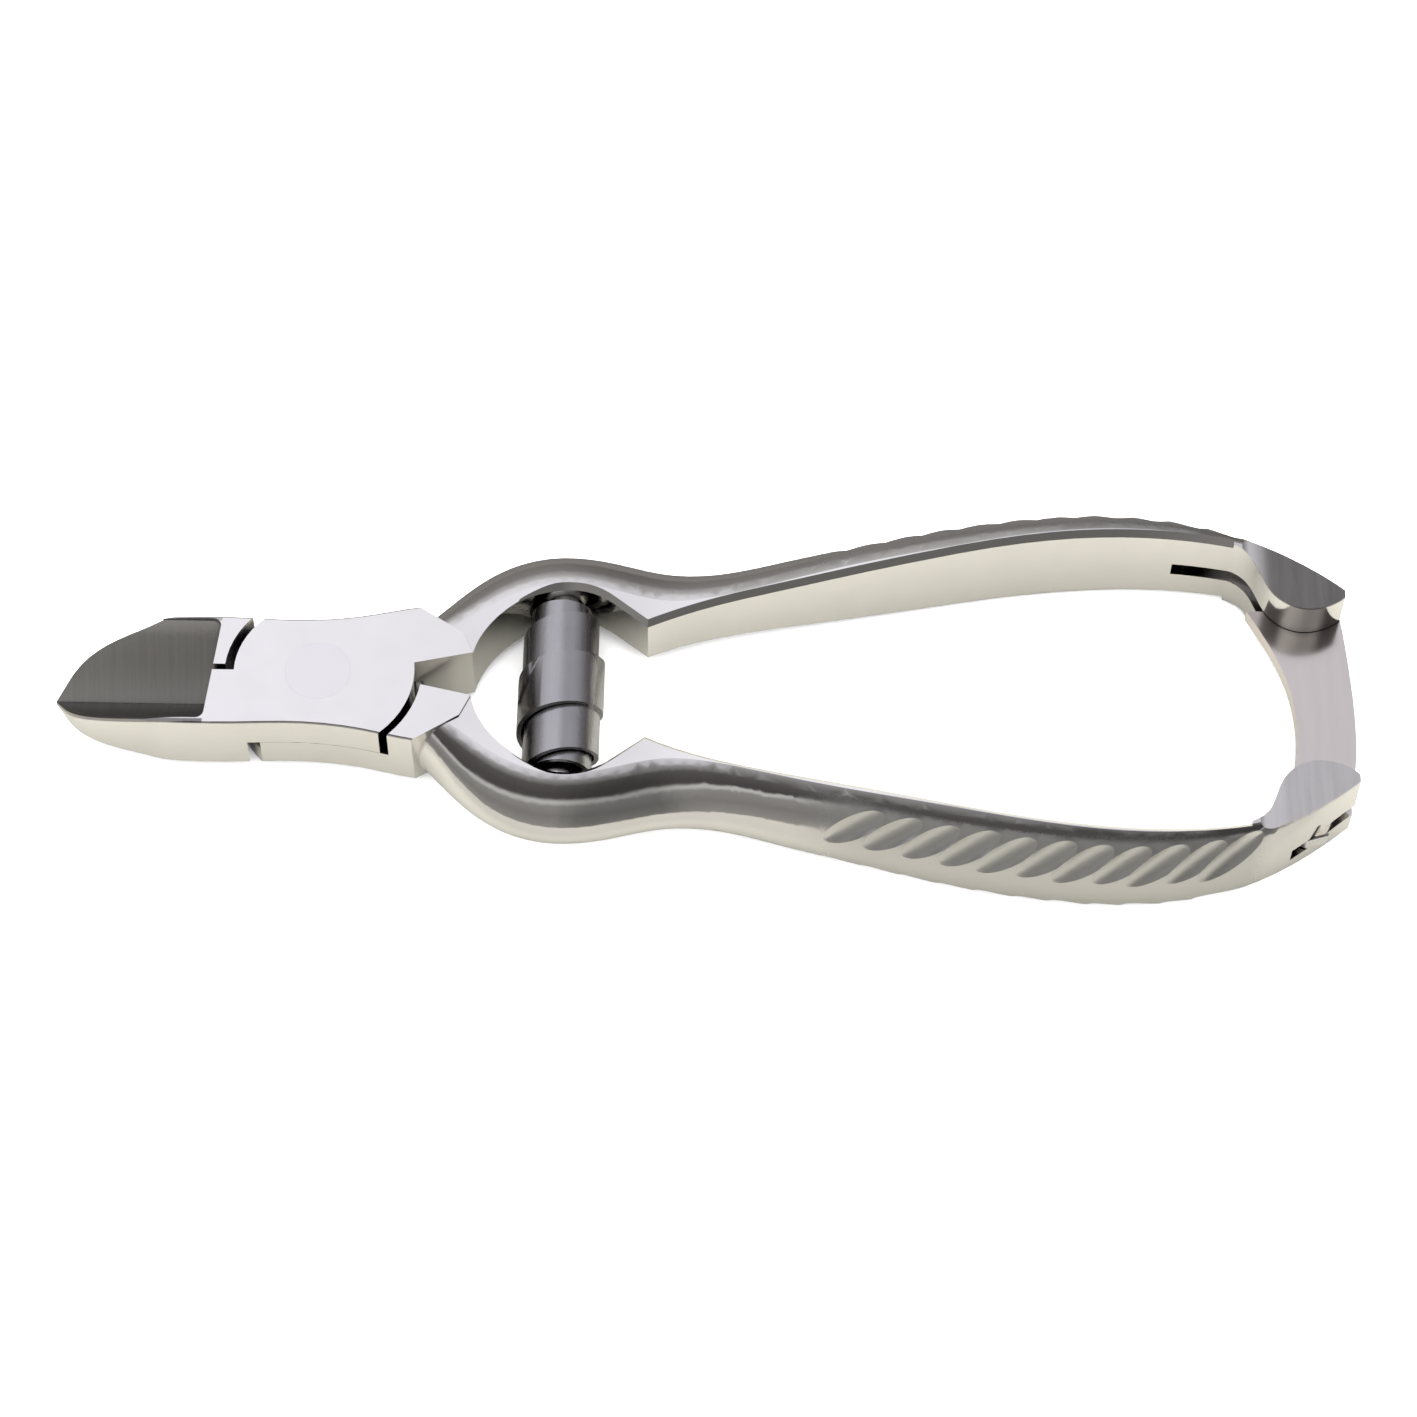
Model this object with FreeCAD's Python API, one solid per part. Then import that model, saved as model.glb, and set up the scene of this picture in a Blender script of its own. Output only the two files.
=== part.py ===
"""A heavy nail nipper with a lap joint, a barrel spring and a swinging lock link.

Frame: the origin is on the pivot's axis at the back face of the joint, +X runs to the handle ends,
+Y to the front lever's handle and +Z out of the front face. Sizes are in millimetres.
"""

import FreeCAD, Part
import math
import os

V = FreeCAD.Vector

# Joint block: two plates that lap at half the thickness and turn on the rivet.
JOINT_THICKNESS = 8.0
LAP_GAP = 0.04
JAW_LENGTH = 28.9
JAW_HALF_WIDTH = 6.8
WAIST_HALF_WIDTH = 6.57
SHOULDER = (10.4, 8.45)
CREASE = [(15.3, 5.2), (16.4, 2.7)]
CROTCH_START = (9.0, 1.0)
EDGE_BREAK = 0.22
PLATE_RADIUS_AT_JAW = 9.0
HEEL_RADIUS = 10.0
PLATE_RADIUS_AT_HANDLE = 10.3
SHOULDER_RADIUS = 11.1
JAW_PARTING = 0.04
HEEL_STEP = 0.7
HEEL_STEP_X = -11.9

# Jaws: the nose falls from the joint's face to the tip, and a hollow is ground across both.
NOSE = [(-13.5, 8.0), (-19.4, 7.1), (-23.7, 5.3), (-28.9, 0.95)]
JAW_SIDE = [(-27.0, 2.5), (-23.7, 4.62), (-18.5, 6.13)]
JAW_CHEEK_X = -11.0
EDGE_LAND = 0.8
BOWL_HALF_WIDTHS = (6.4, -5.95)
BOWL_BACK_WALL = ((-10.7, 6.5), (-11.9, -6.1))
BOWL_CORNER = 0.9
BOWL_HOLLOW = 0.8

# Rivet, flush with both faces.
RIVET_RADIUS = 2.6
RIVET_HEAD_RADIUS = 3.5
RIVET_HEAD_DEPTH = 0.8
PIN_SEAT_GAP = 0.01
TURNING_GAP = 0.03

# Handle sections: place along X, inner reference, half-width in Z, outer crown.
HANDLE_SECTIONS = [
    (9.5, 1.5, 3.85, 6.9),
    (14.0, 5.2, 3.8, 11.4),
    (19.0, 8.8, 3.7, 15.7),
    (25.0, 11.2, 3.7, 17.6),
    (31.0, 10.6, 3.65, 17.1),
    (37.0, 9.2, 3.65, 15.7),
    (43.0, 9.8, 3.95, 15.7),
    (50.0, 11.6, 4.4, 17.3),
    (58.0, 13.6, 5.05, 19.2),
    (66.0, 15.3, 5.5, 21.1),
    (75.0, 17.1, 5.8, 22.6),
    (84.0, 18.2, 5.8, 23.3),
    (92.0, 18.1, 5.6, 22.7),
    (99.0, 16.9, 5.4, 20.6),
    (105.0, 14.8, 5.2, 16.9),
    (110.5, 11.2, 5.0, 12.3),
]
CROWN_POWER = 2.0
EDGE_POWER = 2.15
CROWN_SET_BACK = 0.8
SIDE_STRIP = 0.8
INNER_DEPTH = 9.0
BAY = [(19.3, 8.0), (25.9, 11.5), (31.6, 9.7)]
STOP_POINT = (35.1, 6.9)
GRIP = [(40.9, 9.2), (49.5, 11.5), (62.4, 14.5), (75.3, 17.2), (88.0, 18.35)]
NECK_START = (98.7, 17.4)
NECK = [(100.9, 15.4), (102.6, 11.6), (105.6, 9.65), (108.5, 9.95)]
LOBE_TIP = (110.5, 11.2)
LOBE_HALF_THICKNESS = 4.9
LOBE_FLAT_X = 101.5
LOBE_RUN_OUT = 4.0

# Finger flutes, scooped on a slant across the crown of each handle.
FLUTE_COUNT = 11
FLUTE_FIRST_X = 54.0
FLUTE_PITCH = 4.03
FLUTE_SLANT = 5.0
FLUTE_SHARES = (0.37, 0.66, 0.93)
FLUTE_DEPTH = 0.55
FLUTE_RADIUS = 2.0
FLUTE_HALF_LENGTH = 8.5

# The worn break along the inner edges of the handles.
INNER_BREAK = 0.65
INNER_BREAK_START_X = 20.5
INNER_BREAK_RUN_IN = 5.0
INNER_BREAK_SPACING = 1.5
CUT_PAST = 0.5

# Slots that a disc cutter leaves in the handle ends.
SLOT_WIDTH = 1.9
SLOT_CUTTER_RADIUS = 16.4
FRONT_SLOT_CENTRE = (104.0, 6.5)
BACK_SLOT_CENTRE = (112.0, -4.0)

# Lock link, its pivot pin in the back lever and the catch pin in the front lever.
LINK_THICKNESS = 1.7
LINK_PLANE_Z = 3.3
LINK_PIN = (105.8, -12.9)
CATCH_PIN = (105.6, 13.4)
PIN_RADIUS = 0.8
PIN_REACH = 3.4
LINK_EYE_RADIUS = 2.5
LINK_INNER = [(104.5, -7.5), (105.0, -2.5), (104.2, 3.5), (102.4, 8.3), (100.4, 12.2)]
LINK_OUTER = [(110.8, 9.0), (111.2, 3.0), (111.3, -3.0), (110.9, -8.0)]
LIP_GAP = 0.3
LIP_THICKNESS = 1.2

# Leaf that steadies the link, and its pin.
LEAF_THICKNESS = 0.35
LEAF_WIDTH = 1.5
LEAF_LINE = [(101.7, -14.4), (103.3, -16.1), (104.1, -15.75), (105.3, -16.3), (107.6, -15.6)]
LEAF_PIN = (101.1, -15.2)
LEAF_PIN_RADIUS = 0.6

# Barrel spring: one strip wound out and in again.
SPRING_X = 25.9
SPRING_LENGTH = 20.2
STRIP_WIDTH = 6.4
STRIP_THICKNESS = 0.5
SPRING_RADIUS = 4.85
SPRING_TAPER = 0.75
SPRING_PITCH = 5.4
SPRING_TURNS = 2.6
SPRING_MIDDLE_Y = -0.6
SPRING_STEPS_PER_TURN = 16
PEG_GAP = 0.3
PEG_RADIUS = SPRING_RADIUS - SPRING_TAPER * SPRING_TURNS - STRIP_THICKNESS - PEG_GAP
PEG_LENGTH = 3.2
PEG_SHANK_RADIUS = 1.3
PEG_SHANK_LENGTH = 3.0
PEG_SEAT_Y = 11.5
PEG_TIP_BREAK = 0.5

MID = JOINT_THICKNESS / 2
FAR = 60.0


def spline(points, first=None, last=None, parameters=None):
    """A smooth edge through points, with its end directions if they are given."""
    curve = Part.BSplineCurve()
    options = {"Points": points}
    if parameters:
        options["Parameters"] = parameters
    if first:
        options["InitialTangent"] = first
        options["FinalTangent"] = last
    curve.interpolate(**options)
    return curve.toShape()


def plan(points):
    return [V(x, y, 0) for x, y in points]


def line(a, b):
    return Part.LineSegment(a, b).toShape()


def path(points):
    return [line(a, b) for a, b in zip(points, points[1:])]


def prism(edges, direction):
    """The solid that a closed outline sweeps along direction."""
    return Part.Face(Part.Wire(edges)).extrude(direction)


def box(low, high):
    size = V(*high) - V(*low)
    return Part.makeBox(size.x, size.y, size.z, V(*low))


def disc(radius, centre, low, high):
    return Part.makeCylinder(radius, high - low, V(centre[0], centre[1], low))


def turned_over(shape):
    """The same shape as the other lever has it: half a turn about the X axis at mid-thickness."""
    copy = shape.copy()
    copy.rotate(V(0, 0, MID), V(1, 0, 0), 180)
    return copy


def jaw_edge(sign):
    """The side of jaw and joint from the tip to the shoulder, on +Y or -Y."""
    cheek = (JAW_CHEEK_X, JAW_HALF_WIDTH)
    nose = [V(x, sign * y, 0) for x, y in [(-JAW_LENGTH, 0.0)] + JAW_SIDE + [cheek]]
    side = [
        cheek,
        (-2.2, WAIST_HALF_WIDTH),
        (5.0, (WAIST_HALF_WIDTH + SHOULDER[1]) / 2 - 0.2),
        SHOULDER,
    ]
    points = [V(x, sign * y, 0) for x, y in side]
    tip_way = V(1, sign * 1.35, 0)
    return [spline(nose, tip_way, V(1, 0, 0)), spline(points, V(1, 0, 0), V(1, sign * 0.16, 0))]


def block_outline():
    creases = [SHOULDER] + CREASE
    upper = path([V(x, y, 0) for x, y in creases])
    lower = path([V(x, -y, 0) for x, y in creases])
    end = CREASE[-1]
    return jaw_edge(1) + upper + [line(V(*end, 0), V(end[0], -end[1], 0))] + lower + jaw_edge(-1)


def joint_block():
    """The full outline of both jaws and both plates, with its outer edges broken."""
    wire = Part.Wire(Part.__sortEdges__(block_outline()))
    block = Part.Face(wire).extrude(V(0, 0, JOINT_THICKNESS))
    rims = [
        e
        for e in block.Edges
        if e.BoundBox.ZLength < 1e-6 and e.BoundBox.XMax < CREASE[0][0]
    ]
    return block.makeFillet(EDGE_BREAK, rims)


def above_crotch(z_low, z_high):
    """The space on the +Y side of the crotch line, right of the pivot."""
    slope = (CREASE[-1][1] - CROTCH_START[1]) / (CREASE[-1][0] - CROTCH_START[0])
    start = V(0, CROTCH_START[1] - slope * CROTCH_START[0], z_low)
    end = V(FAR, start.y + slope * FAR, z_low)
    corners = [start, end, V(FAR, FAR, z_low), V(0, FAR, z_low), start]
    return prism(path(corners), V(0, 0, z_high - z_low))


def front_layer(block):
    """The plate half that shows on the front lever's own side."""
    low = MID + LAP_GAP / 2
    high = JOINT_THICKNESS + 1
    layer = block.common(box((-FAR, -FAR, low), (FAR, FAR, high)))
    heel_space = box((-FAR, -JAW_PARTING / 2, low), (0, FAR, high))
    heel_space = heel_space.cut(disc(PLATE_RADIUS_AT_JAW, (0, 0), low, high))
    shoulder_space = box((0, -FAR, low), (FAR, FAR, high)).cut(above_crotch(low, high))
    shoulder_space = shoulder_space.cut(disc(PLATE_RADIUS_AT_HANDLE, (0, 0), low, high))
    return layer.cut([heel_space, shoulder_space])


def back_layer(block):
    """The heel and the shoulder that the front lever keeps beside the other plate."""
    high = MID + LAP_GAP / 2
    layer = block.common(box((-FAR, -FAR, 0), (FAR, FAR, high)))
    heel = box((-FAR, -FAR, 0), (0, -HEEL_STEP, high))
    heel = heel.fuse(box((-FAR, -FAR, 0), (HEEL_STEP_X, -JAW_PARTING / 2, high)))
    heel = heel.cut(disc(HEEL_RADIUS, (0, 0), 0, high))
    shoulder = above_crotch(0, high).cut(disc(SHOULDER_RADIUS, (0, 0), 0, high))
    return layer.common(heel).fuse(layer.common(shoulder))


def dome_height(share):
    """How far out the crown stands at share, from -1 to 1 between the back and front edges."""
    return (1 - abs(share) ** EDGE_POWER) ** (1 / CROWN_POWER)


def dome_place(x, inner, half_width, crown, share):
    """The point of the dome at share. The crown line lies a little to the back of the middle."""
    y = inner + SIDE_STRIP + (crown - inner - SIDE_STRIP) * dome_height(share)
    z = MID + half_width * share - CROWN_SET_BACK * (1 - share**2)
    return V(x, y, z)


def handle_section(x, inner, half_width, crown):
    """A D: straight across the inside, a narrow strip on each side and a domed crown."""
    steps = 7
    shares = []
    for i in range(-steps, steps + 1):
        turn = math.pi / 2 * i / steps
        shares.append(math.copysign(abs(math.sin(turn)) ** (2 / EDGE_POWER), turn))
    points = [dome_place(x, inner, half_width, crown, share) for share in reversed(shares)]
    dome = spline(points, V(0, 1, -0.12), V(0, -1, -0.12), list(range(len(points))))
    low = inner - INNER_DEPTH
    corners = [points[-1], V(x, low, MID - half_width), V(x, low, MID + half_width), points[0]]
    return Part.Wire([dome] + path(corners))


def inner_space():
    """Everything on the inside of the handle: crotch, spring bay, grip, neck and lobe."""
    foot = V(*CROTCH_START, 0)
    crotch = V(*CREASE[-1], 0)
    bay = spline(plan([CREASE[-1]] + BAY))
    ramp = line(V(*BAY[-1], 0), V(*STOP_POINT, 0))
    grip = spline(plan([STOP_POINT] + GRIP + [NECK_START]))
    neck = spline(plan([NECK_START] + NECK + [LOBE_TIP]))
    tip = V(*LOBE_TIP, 0)
    closing = [tip, tip + V(5, 0, 0), V(tip.x + 5, -FAR, 0), V(foot.x, -FAR, 0), foot]
    edges = [line(foot, crotch), bay, ramp, grip, neck] + path(closing)
    wire = Part.Wire(edges)
    wire.translate(V(0, 0, -FAR / 2))
    return Part.Face(wire).extrude(V(0, 0, FAR))


def lobe_flat():
    """The cutter that mills the handle's end flat on the front, with a round run-out."""
    z = MID + LOBE_HALF_THICKNESS
    start = V(LOBE_FLAT_X, 0, z)
    rise = LOBE_RUN_OUT
    middle = V(start.x - rise * math.sin(math.pi / 4), 0, z + rise * (1 - math.cos(math.pi / 4)))
    top = V(start.x - rise, 0, z + rise)
    arc = Part.Arc(start, middle, top).toShape()
    corners = [top, V(FAR * 2, 0, top.z), V(FAR * 2, 0, z), start]
    return prism([arc] + path(corners), V(0, FAR, 0))


def crown_at(x):
    """The handle's crown height and half-width at x, between its sections."""
    for a, b in zip(HANDLE_SECTIONS, HANDLE_SECTIONS[1:]):
        if a[0] <= x <= b[0]:
            share = (x - a[0]) / (b[0] - a[0])
            return [p + share * (q - p) for p, q in zip(a, b)]
    raise ValueError("no handle section there")


def flute(x, face):
    """One scoop of a row on a slant, round at both ends. face is 1 for front and -1 for back."""
    points = []
    for share in FLUTE_SHARES:
        along = (share - FLUTE_SHARES[0]) / (FLUTE_SHARES[2] - FLUTE_SHARES[0])
        place = x + FLUTE_SLANT * along
        points.append(dome_place(place, *crown_at(place)[1:], face * share))
    start, middle, end = points
    axis = end - start
    axis.normalize()
    row = crown_at(middle.x)[1:]
    near = [dome_place(middle.x, *row, face * (FLUTE_SHARES[1] + step)) for step in (-0.03, 0.03)]
    slope = near[1] - near[0]
    side = V(0, face * slope.z, -face * slope.y).cross(axis)
    side.normalize()
    outward = axis.cross(side)
    centre = middle + outward * (FLUTE_RADIUS - FLUTE_DEPTH)
    columns = [outward * FLUTE_RADIUS, side * FLUTE_RADIUS, axis * FLUTE_HALF_LENGTH, centre]
    rows = [[c.x for c in columns], [c.y for c in columns], [c.z for c in columns]]
    stretch = FreeCAD.Matrix(*rows[0], *rows[1], *rows[2], 0, 0, 0, 1)
    return Part.makeSphere(1).transformGeometry(stretch)


def flutes():
    places = [FLUTE_FIRST_X + i * FLUTE_PITCH for i in range(FLUTE_COUNT)]
    return [flute(x, face) for x in places for face in (1, -1)]


def inner_edges(body):
    """The long edges of the handle's inside wall, front and back, from the bay to the neck."""
    edges = []
    for face in body.Faces:
        u_low, u_high, v_low, v_high = face.ParameterRange
        normal = face.normalAt((u_low + u_high) / 2, (v_low + v_high) / 2)
        upright = abs(normal.z) < 0.02 and abs(face.CenterOfMass.z - MID) < 0.5
        if upright and normal.y < 0 and 16 < face.CenterOfMass.x < 90:
            edges += [e for e in face.Edges if abs(e.CenterOfMass.z - MID) > 3]
    return edges


def edge_cutter(edge):
    """A three-sided bar along an edge, which takes the corner off at 45 degrees."""
    count = int(edge.Length / INNER_BREAK_SPACING)
    points = edge.discretize(count + 2)
    face = math.copysign(1, points[0].z - MID)
    sections = []
    for p in sorted(points, key=lambda point: point.x):
        if p.x < INNER_BREAK_START_X:
            continue
        grown = min(1, 0.15 + (p.x - INNER_BREAK_START_X) / INNER_BREAK_RUN_IN)
        low_z = p.z - face * (INNER_BREAK * grown + CUT_PAST)
        high_z = p.z + face * CUT_PAST
        near_y = p.y - CUT_PAST
        far_y = p.y + INNER_BREAK * grown + CUT_PAST
        corners = [V(p.x, near_y, low_z), V(p.x, far_y, high_z), V(p.x, near_y, high_z)]
        sections.append(Part.Wire(path(corners + [corners[0]])))
    return Part.makeLoft(sections, True)


def handle(side):
    """side is 1 for the front lever, whose plate is in front, and -1 for the back lever."""
    body = Part.makeLoft([handle_section(*row) for row in HANDLE_SECTIONS], True, False)
    body = body.cut(inner_space())
    body = body.cut([edge_cutter(edge) for edge in inner_edges(body)])
    body = body.cut(flutes())
    flat = lobe_flat()
    other_flat = flat.mirror(V(0, 0, MID), V(0, 0, 1))
    body = body.cut([flat, other_flat])
    edge = MID + side * LAP_GAP / 2
    other_plate = disc(SHOULDER_RADIUS, (0, 0), *sorted([edge, edge - side * FAR]))
    if side < 0:
        body = body.mirror(V(0, 0, 0), V(0, 1, 0))
    return body.cut(other_plate)


def nose_space():
    """What is ground off above the jaws."""
    top = spline([V(x, 0, z) for x, z in NOSE], V(-1, 0, 0), V(-0.35, 0, -1))
    start = V(NOSE[0][0], 0, NOSE[0][1])
    tip = V(NOSE[-1][0], 0, NOSE[-1][1])
    high = JOINT_THICKNESS + 5
    corners = [tip, V(tip.x - 5, 0, tip.z), V(tip.x - 5, 0, high), V(start.x, 0, high), start]
    space = prism([top] + path(corners), V(0, FAR, 0))
    space.translate(V(0, -FAR / 2, 0))
    return space


def bowl():
    """The hollow across both jaws: two ground flanks that meet at the cutting edges."""
    valley = V(-FAR, 0, EDGE_LAND)
    flanks = []
    rims = []
    for rim_y in BOWL_HALF_WIDTHS:
        over = 1.15
        rim = V(-FAR, rim_y * over, EDGE_LAND + (JOINT_THICKNESS - EDGE_LAND) * over)
        chord = rim - valley
        out = V(0, math.copysign(chord.z, rim_y), -abs(chord.y))
        out.normalize()
        middle = valley + chord * 0.5 + out * BOWL_HOLLOW
        flanks.append(Part.Arc(valley, middle, rim).toShape())
        rims.append(rim)
    trough = prism(flanks + [line(*rims)], V(FAR, 0, 0))
    (top_x, top_y), (low_x, low_y) = BOWL_BACK_WALL
    corners = plan([(-FAR, top_y), (top_x, top_y), (low_x, low_y), (-FAR, low_y), (-FAR, top_y)])
    area = prism(path(corners), V(0, 0, JOINT_THICKNESS * 2))
    uprights = [e for e in area.Edges if e.BoundBox.ZLength > 1 and e.BoundBox.XMin > -FAR / 2]
    return trough.common(area.makeFillet(BOWL_CORNER, uprights))


def rivet(gap=0.0):
    """The pivot rivet, or the hole for it when gap is given."""
    head_radius = RIVET_HEAD_RADIUS + gap
    shank_radius = RIVET_RADIUS + gap
    profile = [
        (0, 0),
        (head_radius, 0),
        (shank_radius, RIVET_HEAD_DEPTH),
        (shank_radius, JOINT_THICKNESS - RIVET_HEAD_DEPTH),
        (head_radius, JOINT_THICKNESS),
        (0, JOINT_THICKNESS),
        (0, 0),
    ]
    face = Part.Face(Part.Wire(path([V(r, 0, z) for r, z in profile])))
    return face.revolve(V(0, 0, 0), V(0, 0, 1), 360)


def cross_pin(centre, radius, gap=0.0):
    """A pin across a slot, or its blind hole when gap is given."""
    low = LINK_PLANE_Z - PIN_REACH - gap
    return disc(radius + gap, centre, low, LINK_PLANE_Z + PIN_REACH + gap)


def slot(centre):
    low = LINK_PLANE_Z - SLOT_WIDTH / 2
    return disc(SLOT_CUTTER_RADIUS, centre, low, low + SLOT_WIDTH)


def stud(radius, start, end, side):
    """A round bar along Y on the spring's axis, from start to end on the handle's side."""
    low, high = sorted([side * start, side * end])
    return Part.makeCylinder(radius, high - low, V(SPRING_X, low, MID), V(0, 1, 0))


def peg(side):
    """A shouldered stud in the spring bay: the collar centres the spring, the shank is seated."""
    tip = PEG_SEAT_Y - PEG_LENGTH
    collar = stud(PEG_RADIUS, tip, PEG_SEAT_Y - PIN_SEAT_GAP, side)
    rim = [e for e in collar.Edges if abs(e.BoundBox.Center.y - side * tip) < PIN_SEAT_GAP]
    shank = stud(PEG_SHANK_RADIUS, tip + 1, PEG_SEAT_Y + PEG_SHANK_LENGTH, side)
    return collar.makeChamfer(PEG_TIP_BREAK, rim).fuse(shank).removeSplitter()


def peg_seat(side):
    """The hole for the shank, and the spot face that the collar stands on."""
    end = PEG_SEAT_Y + PEG_SHANK_LENGTH + PIN_SEAT_GAP
    hole = stud(PEG_SHANK_RADIUS + PIN_SEAT_GAP, PEG_SEAT_Y - 1, end, side)
    return hole.fuse(stud(PEG_RADIUS + TURNING_GAP, PEG_SEAT_Y - 2, PEG_SEAT_Y, side))


def lever(side):
    """Plate, heel, shoulder and handle of one lever, before its own cuts."""
    block = joint_block()
    joint = front_layer(block).fuse(back_layer(block))
    if side < 0:
        joint = turned_over(joint)
    return joint.fuse(handle(side))


def front_lever():
    body = lever(1).cut([nose_space(), bowl(), slot(FRONT_SLOT_CENTRE)])
    holes = [rivet(PIN_SEAT_GAP), peg_seat(1), cross_pin(CATCH_PIN, PIN_RADIUS, PIN_SEAT_GAP)]
    return body.cut(holes)


def back_lever():
    body = lever(-1).cut([nose_space(), bowl(), slot(BACK_SLOT_CENTRE)])
    holes = [
        rivet(TURNING_GAP),
        peg_seat(-1),
        cross_pin(LINK_PIN, PIN_RADIUS, PIN_SEAT_GAP),
        cross_pin(LEAF_PIN, LEAF_PIN_RADIUS, PIN_SEAT_GAP),
    ]
    return body.cut(holes)


def link_outline():
    """The lock link from its round eye up to the hook that goes round the catch pin."""
    catch = V(*CATCH_PIN, 0)
    notch = PIN_RADIUS + LIP_GAP
    left = V(*LINK_INNER[-1], 0)
    seat_start = catch + V(0, -notch, 0)
    seat_side = catch + V(notch, 0, 0)
    seat_end = catch + V(0, notch, 0)
    lip_tip = seat_end + V(0, LIP_THICKNESS, 0)
    back = V(LINK_OUTER[0][0] - 0.6, lip_tip.y - 1.2, 0)
    outer = spline([back] + plan(LINK_OUTER))
    eye = V(*LINK_PIN, 0)
    right = V(*LINK_OUTER[-1], 0)
    out_side = eye + V(LINK_EYE_RADIUS * 0.9, -LINK_EYE_RADIUS * 0.436, 0)
    bottom = eye + V(0, -LINK_EYE_RADIUS, 0)
    in_side = eye + V(-LINK_EYE_RADIUS, 0, 0)
    inner = spline(plan(LINK_INNER))
    return [
        inner,
        line(left, seat_start),
        Part.Arc(seat_start, seat_side, seat_end).toShape(),
        line(seat_end, lip_tip),
        Part.Arc(lip_tip, V((lip_tip.x + back.x) / 2, lip_tip.y - 0.1, 0), back).toShape(),
        outer,
        line(right, out_side),
        Part.Arc(out_side, bottom, in_side).toShape(),
        line(in_side, V(*LINK_INNER[0], 0)),
    ]


def lock_link():
    body = prism(link_outline(), V(0, 0, LINK_THICKNESS))
    body.translate(V(0, 0, LINK_PLANE_Z - LINK_THICKNESS / 2))
    return body.cut(cross_pin(LINK_PIN, PIN_RADIUS, TURNING_GAP))


def leaf_spring():
    """A bent strip: its line is thickened to one side and extruded across the slot."""
    points = plan(LEAF_LINE)
    outer = [p + V(-0.4 * LEAF_THICKNESS, -LEAF_THICKNESS, 0) for p in points]
    loop = points + list(reversed(outer)) + [points[0]]
    body = prism(path(loop), V(0, 0, LEAF_WIDTH))
    body.translate(V(0, 0, LINK_PLANE_Z - LEAF_WIDTH / 2))
    return body


def strip_edge(radius_offset, height_offset):
    """One edge of the spring's strip, from end to end."""
    steps = int(SPRING_TURNS * 2 * SPRING_STEPS_PER_TURN)
    points = []
    for i in range(steps + 1):
        turn = SPRING_TURNS * (2 * i / steps - 1)
        radius = SPRING_RADIUS - SPRING_TAPER * math.sqrt(turn**2 + 0.02) + radius_offset
        angle = math.pi / 2 - 2 * math.pi * turn
        y = SPRING_MIDDLE_Y + SPRING_PITCH * turn + height_offset
        points.append(
            V(SPRING_X + radius * math.cos(angle), y, MID + radius * math.sin(angle))
        )
    return points


def barrel_spring():
    """The wound strip as four ruled faces, ground flat at both ends."""
    corners = [(0, -1), (0, 1), (-1, 1), (-1, -1)]
    rows = [strip_edge(a * STRIP_THICKNESS, b * STRIP_WIDTH / 2) for a, b in corners]
    edges = [spline(row, None, None, list(range(len(row)))) for row in rows]
    faces = [Part.makeRuledSurface(edges[i], edges[(i + 1) % 4]) for i in range(4)]
    for end in (0, -1):
        ring = [row[end] for row in rows]
        faces.append(Part.Face(Part.Wire(path(ring + [ring[0]]))))
    shell = Part.makeShell(faces)
    shell.sewShape()
    strip = Part.makeSolid(shell)
    half = SPRING_LENGTH / 2
    return strip.common(box((-FAR, -half, -FAR), (FAR, half, FAR)))


def save(name, shape):
    solids = shape.Solids
    if not solids or not all(s.isValid() for s in solids):
        print(name, "is not valid")
    body = solids[0] if len(solids) == 1 else Part.makeCompound(solids)
    body.exportStep("parts/" + name + ".step")
    print(name, len(solids), round(body.Volume, 2))


def main():
    os.makedirs("parts", exist_ok=True)
    save("front_lever", front_lever())
    save("back_lever", back_lever())
    save("pivot_rivet", rivet())
    save("barrel_spring", barrel_spring())
    save("front_spring_peg", peg(1))
    save("back_spring_peg", peg(-1))
    save("lock_link", lock_link())
    save("link_pin", cross_pin(LINK_PIN, PIN_RADIUS))
    save("catch_pin", cross_pin(CATCH_PIN, PIN_RADIUS))
    save("link_leaf_spring", leaf_spring())
    save("leaf_pin", cross_pin(LEAF_PIN, LEAF_PIN_RADIUS))


main()
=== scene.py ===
import math

import bpy
from mathutils import Matrix, Vector


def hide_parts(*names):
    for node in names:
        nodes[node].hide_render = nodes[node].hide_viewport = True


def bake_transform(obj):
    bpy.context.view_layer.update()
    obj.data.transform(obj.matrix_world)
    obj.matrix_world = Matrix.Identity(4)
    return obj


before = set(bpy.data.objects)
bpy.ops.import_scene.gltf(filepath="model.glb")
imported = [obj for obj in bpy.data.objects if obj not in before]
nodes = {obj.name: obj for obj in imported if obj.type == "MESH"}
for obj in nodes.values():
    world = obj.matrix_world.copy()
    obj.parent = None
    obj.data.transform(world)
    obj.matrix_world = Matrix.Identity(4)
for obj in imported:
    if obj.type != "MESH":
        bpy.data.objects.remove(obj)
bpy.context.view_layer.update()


# Forged levers. Two steel forgings, ground, polished and nickel plated all over, so they mirror
# the room. The bowl across both jaws is hollow ground on a wheel and left brushed, with the
# scratches running across the jaws; its front half is darker, a painted shade. The handles'
# scoops are matt, and the end lobes linished; the catch lobe's top is dark, a painted dark
# reflection. Gaps and crevices are darkened as painted shade.
def new_finish(name, metallic=1.0):
    finish = bpy.data.materials.new(name)
    finish.use_nodes = True
    tree = finish.node_tree
    shader = tree.nodes["Principled BSDF"]
    shader.inputs["Metallic"].default_value = metallic
    return finish, tree, shader


def feed(tree, socket, value):
    if isinstance(value, bpy.types.NodeSocket):
        tree.links.new(value, socket)
    elif isinstance(value, tuple):
        socket.default_value = (*value, 1)
    else:
        socket.default_value = value


def math_node(tree, operation, *values):
    node = tree.nodes.new("ShaderNodeMath")
    node.operation = operation
    for socket, value in zip(node.inputs, values):
        feed(tree, socket, value)
    return node.outputs[0]


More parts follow.
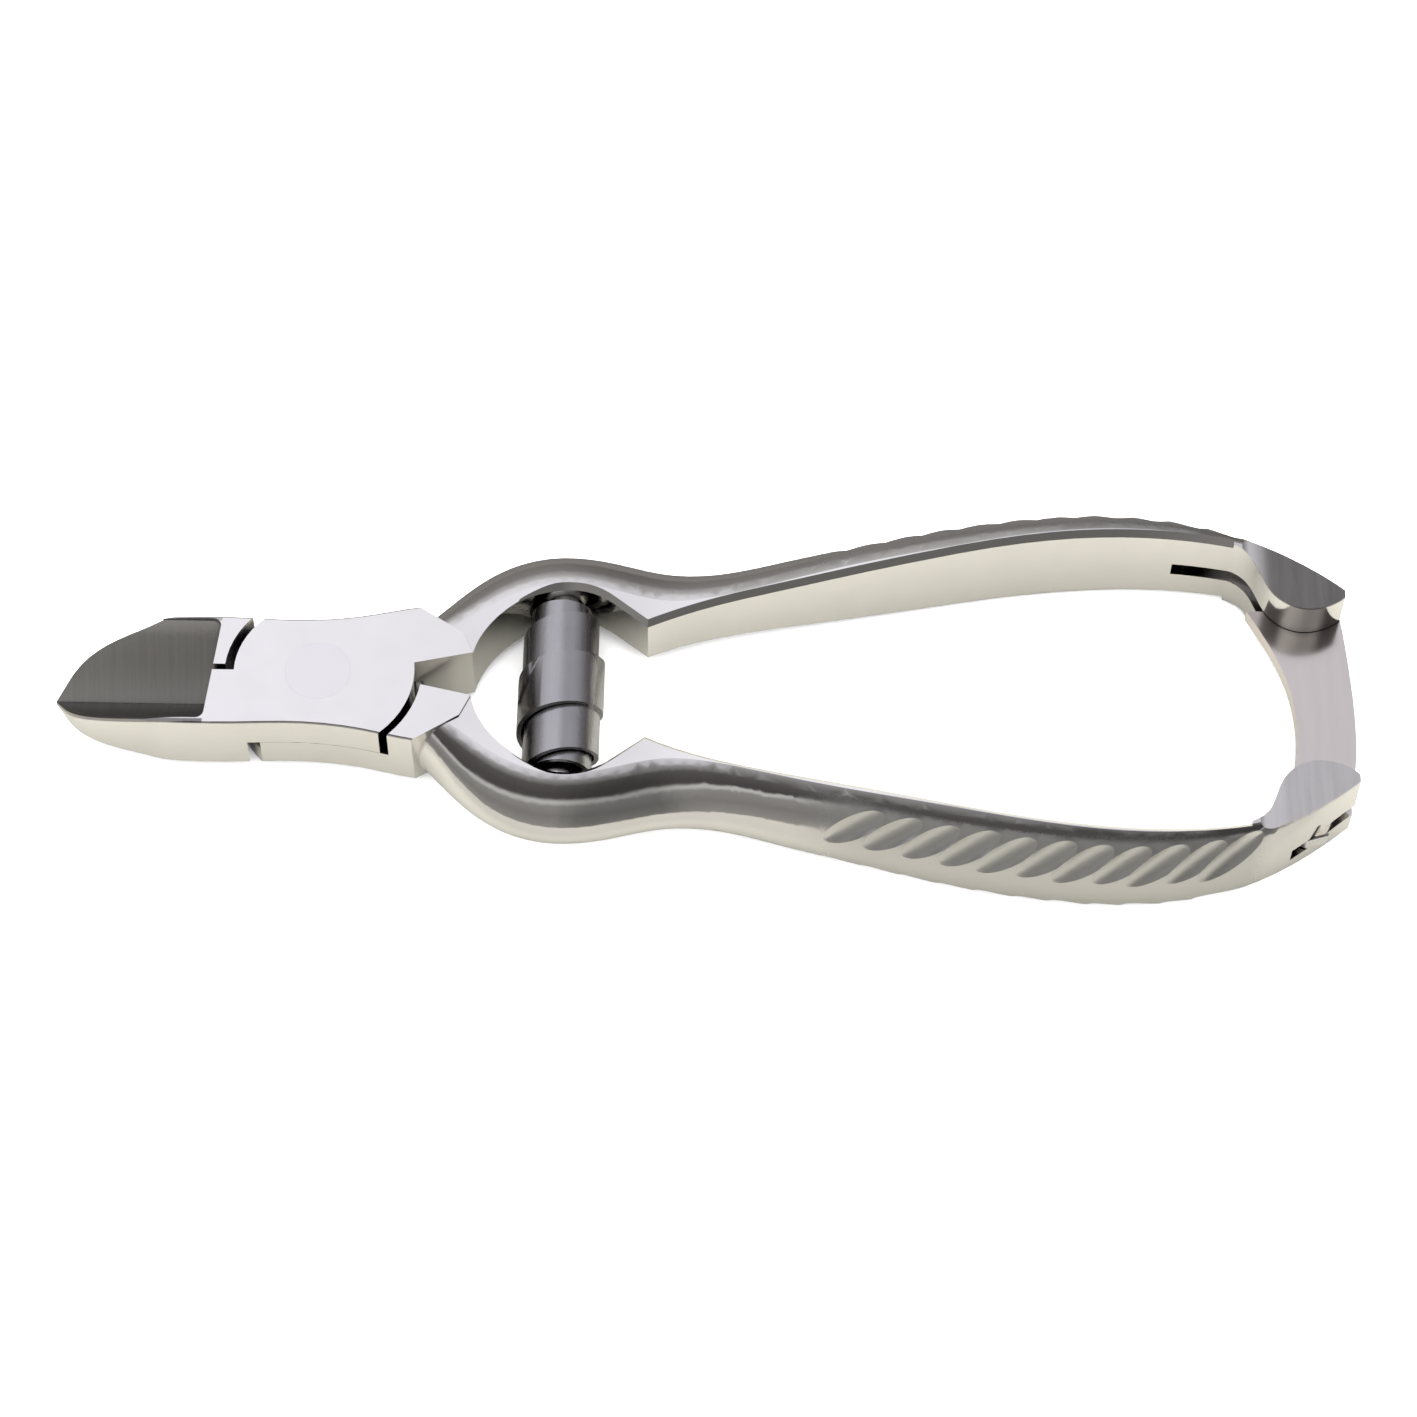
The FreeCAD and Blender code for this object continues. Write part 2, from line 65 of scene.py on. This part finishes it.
def place_of(tree):
    coordinates = tree.nodes.new("ShaderNodeTexCoord")
    split = tree.nodes.new("ShaderNodeSeparateXYZ")
    tree.links.new(coordinates.outputs["Object"], split.inputs[0])
    return coordinates.outputs["Object"], split.outputs


def step_up(tree, value, start, end):
    ramp = tree.nodes.new("ShaderNodeMapRange")
    ramp.interpolation_type = "SMOOTHSTEP"
    ramp.inputs["From Min"].default_value = start
    ramp.inputs["From Max"].default_value = end
    tree.links.new(value, ramp.inputs["Value"])
    return ramp.outputs[0]


def both(tree, first, second):
    return math_node(tree, "MULTIPLY", first, second)


def bowed_line(tree, x, middle, height, slope, bow):
    run = math_node(tree, "SUBTRACT", x, middle)
    bend = math_node(tree, "MULTIPLY", math_node(tree, "MULTIPLY", run, run), bow)
    return math_node(tree, "ADD", math_node(tree, "MULTIPLY_ADD", run, slope, height), bend)


def stretched_noise(tree, place, stretch, scale=1.0, detail=4.0):
    mapping = tree.nodes.new("ShaderNodeMapping")
    mapping.inputs["Scale"].default_value = stretch
    tree.links.new(place, mapping.inputs["Vector"])
    noise = tree.nodes.new("ShaderNodeTexNoise")
    noise.inputs["Scale"].default_value = scale
    noise.inputs["Detail"].default_value = detail
    tree.links.new(mapping.outputs[0], noise.inputs["Vector"])
    return noise.outputs["Fac"]


def blend_values(tree, share, low, high):
    mix = tree.nodes.new("ShaderNodeMix")
    mix.data_type = "FLOAT"
    for number, value in ((0, share), (2, low), (3, high)):
        feed(tree, mix.inputs[number], value)
    return mix.outputs[0]


def blend_colours(tree, share, low, high):
    mix = tree.nodes.new("ShaderNodeMix")
    mix.data_type = "RGBA"
    for number, value in ((0, share), (6, low), (7, high)):
        feed(tree, mix.inputs[number], value)
    return mix.outputs[2]


EVEN = (1, 1, 1)
ACROSS_JAWS = (2400, 60, 60)
ACROSS_LOBES = (1800, 120, 60)

POLISHED = (0.06, 0.15)
MATT = (0.30, 0.46)
LINISHED = 0.3
BRUSHED = (0.26, 0.42)

NICKEL = ((0.86, 0.84, 0.82), (0.80, 0.78, 0.76))
MATT_NICKEL = (0.74, 0.725, 0.705)
# The darker front-bowl tone is painted shade on the same brushed finish as the back half.
BACK_BOWL = ((0.53, 0.515, 0.50), (0.78, 0.76, 0.74))
FRONT_BOWL_PAINTED_SHADE = ((0.25, 0.235, 0.23), (0.40, 0.38, 0.375))
# The catch lobe's dark tone is a painted dark reflection; the link lobe's tone is its linished finish.
CATCH_LOBE_PAINTED_REFLECTION = ((0.06, 0.05, 0.047), (0.22, 0.20, 0.19))
LINK_LOBE = ((0.60, 0.575, 0.565), (0.86, 0.83, 0.82))
LOBE_SHARE = 0.85
# Near-black colour for crevices and gaps between parts: painted shade.
CREVICE_PAINTED_SHADE = (0.035, 0.03, 0.028)
CREVICE_REACH = 0.003

BOWL_HALF_WIDTH = 0.0071
BOWL_FLOOR = 0.0008
BOWL_SLOPE = 1.165
BOWL_SAG = 0.0048
BOWL_WALL_SLANT = -0.095
GRIP_LINE = {"middle": 0.08, "height": 0.0178, "slope": 0.063, "bow": -5.81}
SCRATCH_DEPTH = 0.00001

plate, tree, steel = new_finish("nickel_plate")
place, (x, y, z) = place_of(tree)
height = math_node(tree, "ABSOLUTE", y)
share = math_node(tree, "DIVIDE", height, BOWL_HALF_WIDTH)
across = math_node(tree, "MULTIPLY", share, math_node(tree, "SUBTRACT", 1.0, share))
sag = math_node(tree, "MULTIPLY", across, BOWL_SAG)
flank = math_node(tree, "MULTIPLY_ADD", height, BOWL_SLOPE, BOWL_FLOOR)
hollow = math_node(tree, "SUBTRACT", flank, sag)
off_bowl = math_node(tree, "ABSOLUTE", math_node(tree, "SUBTRACT", z, hollow))
wall = math_node(tree, "MULTIPLY_ADD", y, BOWL_WALL_SLANT, x)
in_bowl = both(tree, step_up(tree, wall, -0.01125, -0.01135), step_up(tree, off_bowl, 0.0006, 0.0004))

past_line = math_node(tree, "SUBTRACT", height, bowed_line(tree, x, **GRIP_LINE))
ends = both(tree, step_up(tree, x, 0.0490, 0.0580), step_up(tree, x, 0.1015, 0.0985))
in_grip = both(tree, step_up(tree, past_line, 0.0013, 0.0024), ends)
on_lobe = both(tree, step_up(tree, x, 0.1000, 0.1030), step_up(tree, z, 0.0086, 0.0088))
far_side = step_up(tree, y, -0.0002, 0.0002)

polish = stretched_noise(tree, place, EVEN, 260.0, 3.0)
grain = stretched_noise(tree, place, EVEN, 2600.0)
scratches = stretched_noise(tree, place, ACROSS_JAWS)
linishing = stretched_noise(tree, place, ACROSS_LOBES)

shine = blend_values(tree, polish, *POLISHED)
shine = blend_values(tree, in_grip, shine, blend_values(tree, grain, *MATT))
shine = blend_values(tree, on_lobe, shine, LINISHED)
shine = blend_values(tree, in_bowl, shine, blend_values(tree, scratches, *BRUSHED))
feed(tree, steel.inputs["Roughness"], shine)

colour = blend_colours(tree, in_grip, blend_colours(tree, polish, *NICKEL), MATT_NICKEL)
# The catch lobe's top is painted dark: a painted dark reflection.
lobes = blend_colours(tree, far_side, blend_colours(tree, linishing, *LINK_LOBE),
                      blend_colours(tree, linishing, *CATCH_LOBE_PAINTED_REFLECTION))
colour = blend_colours(tree, math_node(tree, "MULTIPLY", on_lobe, LOBE_SHARE), colour, lobes)
# The bowl's front half gets the darker tone: painted shade.
bowls = blend_colours(tree, far_side, blend_colours(tree, scratches, *FRONT_BOWL_PAINTED_SHADE),
                      blend_colours(tree, scratches, *BACK_BOWL))
colour = blend_colours(tree, in_bowl, colour, bowls)
# Painted shade: the colour goes near black where ambient occlusion finds crevices and gaps.
shelter = tree.nodes.new("ShaderNodeAmbientOcclusion")
shelter.samples = 6
shelter.inputs["Distance"].default_value = CREVICE_REACH
outside_painted_shade = step_up(tree, shelter.outputs["AO"], 0.30, 0.62)
feed(tree, steel.inputs["Base Color"], blend_colours(tree, outside_painted_shade, CREVICE_PAINTED_SHADE, colour))

relief = tree.nodes.new("ShaderNodeBump")
relief.inputs["Distance"].default_value = SCRATCH_DEPTH
roughened = math_node(tree, "MAXIMUM", in_bowl, math_node(tree, "MULTIPLY", in_grip, 0.5))
feed(tree, relief.inputs["Strength"], roughened)
feed(tree, relief.inputs["Height"], blend_values(tree, in_bowl, grain, scratches))
feed(tree, steel.inputs["Normal"], relief.outputs[0])


def give(name, finish):
    nodes[name].data.materials.clear()
    nodes[name].data.materials.append(finish)


give("front_lever", plate)
give("back_lever", plate)


# Rivet, pegs and cross pins. Turned from bright bar, driven in and ground flush, so they keep a
# faint turned grain that the plated levers do not have.
def grained_steel(name, stretch, shine, tones, detail=4.0):
    finish, tree, steel = new_finish(name)
    grain = stretched_noise(tree, place_of(tree)[0], stretch, detail=detail)
    feed(tree, steel.inputs["Roughness"], blend_values(tree, grain, *shine))
    feed(tree, steel.inputs["Base Color"], blend_colours(tree, grain, *tones))
    return finish


BRIGHT_STEEL = ((0.82, 0.80, 0.79), (0.86, 0.84, 0.83))
bright = grained_steel("bright_bar", (400, 400, 400), (0.10, 0.22), BRIGHT_STEEL)
for name in ("pivot_rivet", "front_spring_peg", "back_spring_peg", "link_pin", "catch_pin", "leaf_pin"):
    give(name, bright)

# Lock link. A flat link stamped from plate, its faces linished along their length and plated.
LINK_NICKEL = ((0.775, 0.72, 0.69), (0.87, 0.81, 0.775))
give("lock_link", grained_steel("linished_plate", (900, 90, 900), (0.12, 0.24), LINK_NICKEL))

# Leaf spring of the link. A short bent strip of spring steel held in the slot by one cross pin.
LEAF_STEEL = ((0.70, 0.69, 0.68), (0.85, 0.84, 0.83))
leaf = grained_steel("leaf_strip", (120, 1500, 1500), (0.2, 0.35), LEAF_STEEL, detail=3.0)
give("link_leaf_spring", leaf)

# Barrel spring. A tapered strip of blued spring steel wound both ways from its middle, so that
# its turns slide in one another. It stretches between the two pegs as the handles open.
ROUND_OVER_ANGLE = 40
MERGE_DISTANCE = 0.000001
BLUED_SHINE = (0.16, 0.34)
BLUED = ((0.32, 0.315, 0.325), (0.52, 0.515, 0.53))
RUBBED_BARE = (0.62, 0.61, 0.61)
RUBBED_SHARE = 0.35

bpy.ops.object.select_all(action="DESELECT")
coil = bpy.data.objects.new("barrel_spring_strip", nodes["barrel_spring"].data.copy())
bpy.context.scene.collection.objects.link(coil)
bpy.context.view_layer.objects.active = coil
coil.select_set(True)
bpy.ops.object.mode_set(mode="EDIT")
bpy.ops.mesh.select_all(action="SELECT")
bpy.ops.mesh.remove_doubles(threshold=MERGE_DISTANCE)
bpy.ops.mesh.normals_make_consistent(inside=False)
bpy.ops.object.mode_set(mode="OBJECT")
bpy.ops.mesh.customdata_custom_splitnormals_clear()
bpy.ops.object.shade_smooth_by_angle(angle=math.radians(ROUND_OVER_ANGLE))

blued, tree, steel = new_finish("blued_strip")
place = place_of(tree)[0]
streaks = stretched_noise(tree, place, (1500, 50, 1500))
wear = math_node(tree, "MULTIPLY", stretched_noise(tree, place, EVEN, 300.0, 3.0), RUBBED_SHARE)
feed(tree, steel.inputs["Roughness"], blend_values(tree, streaks, *BLUED_SHINE))
tone = blend_colours(tree, wear, blend_colours(tree, streaks, *BLUED), RUBBED_BARE)
feed(tree, steel.inputs["Base Color"], tone)
coil.data.materials.clear()
coil.data.materials.append(blued)
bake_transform(coil)
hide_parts("barrel_spring")

# Table and room. The tool lies on a white table that two wide lamps light evenly. The metal
# doesn't mirror the lamps. It mirrors the paper near it and the arch of the room, from ahead
# (0 degrees) up and over to behind the viewer (180 degrees). The paper shows its white only to
# the camera; to mirror rays it shows painted reflection tones, pale in front and dark behind
# the handle line.
TABLE_Z = -0.0019
PAPER = (0.95, 0.95, 0.95)
# Tones the table shows only to mirror rays: painted reflections in the metal, not the paper's colour.
FRONT_PAINTED_REFLECTION = (0.205, 0.20, 0.178)
INSIDE_PAINTED_REFLECTION = (0.295, 0.289, 0.256)
BEHIND_PAINTED_REFLECTION = (0.061, 0.058, 0.055)
HANDLE_LINE = {"middle": 0.084, "height": 0.0207, "slope": -0.058, "bow": -5.0}
JOINT_LINE_Y = 0.0135

bpy.ops.object.select_all(action="DESELECT")
bpy.ops.mesh.primitive_plane_add(size=4, location=(0, 0, TABLE_Z))
table = bpy.context.object
table.name = "table"
paper, tree, sheet = new_finish("table_paper", metallic=0.0)
sheet.inputs["Roughness"].default_value = 0.9
x, y, z = place_of(tree)[1]
line = math_node(tree, "MAXIMUM", bowed_line(tree, x, **HANDLE_LINE), JOINT_LINE_Y)
behind = step_up(tree, math_node(tree, "SUBTRACT", y, line), -0.001, 0.001)
front = blend_colours(tree, step_up(tree, y, -0.03, -0.008), FRONT_PAINTED_REFLECTION, INSIDE_PAINTED_REFLECTION)
# Mirror rays see the painted reflection tones; the camera sees the white paper.
ray = tree.nodes.new("ShaderNodeLightPath")
painted_reflection = blend_colours(tree, behind, front, BEHIND_PAINTED_REFLECTION)
seen = blend_colours(tree, ray.outputs["Is Glossy Ray"], PAPER, painted_reflection)
feed(tree, sheet.inputs["Base Color"], seen)
table.data.materials.append(paper)

for name, place, turn, size, power in (
    ("overhead_lamp", (0.04, 0.1, 1.0), 0.0, 1.8, 52),
    ("front_lamp", (0.04, -0.9, 0.7), 0.9, 1.2, 18),
):
    bpy.ops.object.light_add(type="AREA", location=place, rotation=(turn, 0, 0))
    lamp = bpy.context.object
    lamp.name = name
    lamp.data.size = size
    lamp.data.energy = power
    lamp.visible_glossy = False

ARCH_TONES = [
    (0, (0.20, 0.19, 0.18)),
    (24, (0.24, 0.23, 0.23)),
    (40, (0.50, 0.49, 0.50)),
    (48, (0.97, 0.973, 1.04)),
    (66, (1.035, 1.04, 1.13)),
    (73, (0.32, 0.31, 0.32)),
    (84, (0.10, 0.095, 0.095)),
    (112, (0.065, 0.06, 0.06)),
    (117, (0.55, 0.55, 0.54)),
    (120, (0.55, 0.55, 0.54)),
    (126, (0.28, 0.275, 0.27)),
    (150, (0.22, 0.215, 0.21)),
    (178, (0.30, 0.295, 0.28)),
]
room = bpy.data.worlds.new("room")
bpy.context.scene.world = room
room.use_nodes = True
tree = room.node_tree
sky = tree.nodes["Background"]
coordinates = tree.nodes.new("ShaderNodeTexCoord")
split = tree.nodes.new("ShaderNodeSeparateXYZ")
tree.links.new(coordinates.outputs["Generated"], split.inputs[0])
x, y, z = split.outputs
arch = tree.nodes.new("ShaderNodeValToRGB")
feed(tree, arch.inputs["Fac"], math_node(tree, "DIVIDE", math_node(tree, "ARCTAN2", z, y), math.pi))
stops = arch.color_ramp.elements
stops.remove(stops[1])
stops[0].color = (*ARCH_TONES[0][1], 1)
for angle, tone in ARCH_TONES[1:]:
    stops.new(angle / 180).color = (*tone, 1)
dimming = tree.nodes.new("ShaderNodeMapRange")
for name, value in (("From Min", -0.1), ("From Max", 0.16), ("To Min", 1.0), ("To Max", 0.64)):
    dimming.inputs[name].default_value = value
feed(tree, dimming.inputs["Value"], x)
feed(tree, sky.inputs["Color"], arch.outputs["Color"])
feed(tree, sky.inputs["Strength"], dimming.outputs[0])
bpy.context.scene.view_settings.view_transform = "Standard"

# Camera. A long lens, well above the bench and square to the tool's length, with a slight roll.
ELEVATION = math.radians(58)
ROLL = math.radians(0.99)
AIM = Vector((0.0418, -0.0014, 0.004))
DISTANCE = 0.430
towards_camera = Vector((0, -math.cos(ELEVATION), math.sin(ELEVATION)))
bpy.ops.object.camera_add(location=AIM + towards_camera * DISTANCE)
camera = bpy.context.object
camera.data.lens = 101.6
camera.data.sensor_width = 36
camera.data.clip_start = 0.01
turned = Matrix.Rotation(math.pi / 2 - ELEVATION, 4, "X") @ Matrix.Rotation(ROLL, 4, "Z")
camera.rotation_euler = turned.to_euler()
bpy.context.scene.camera = camera
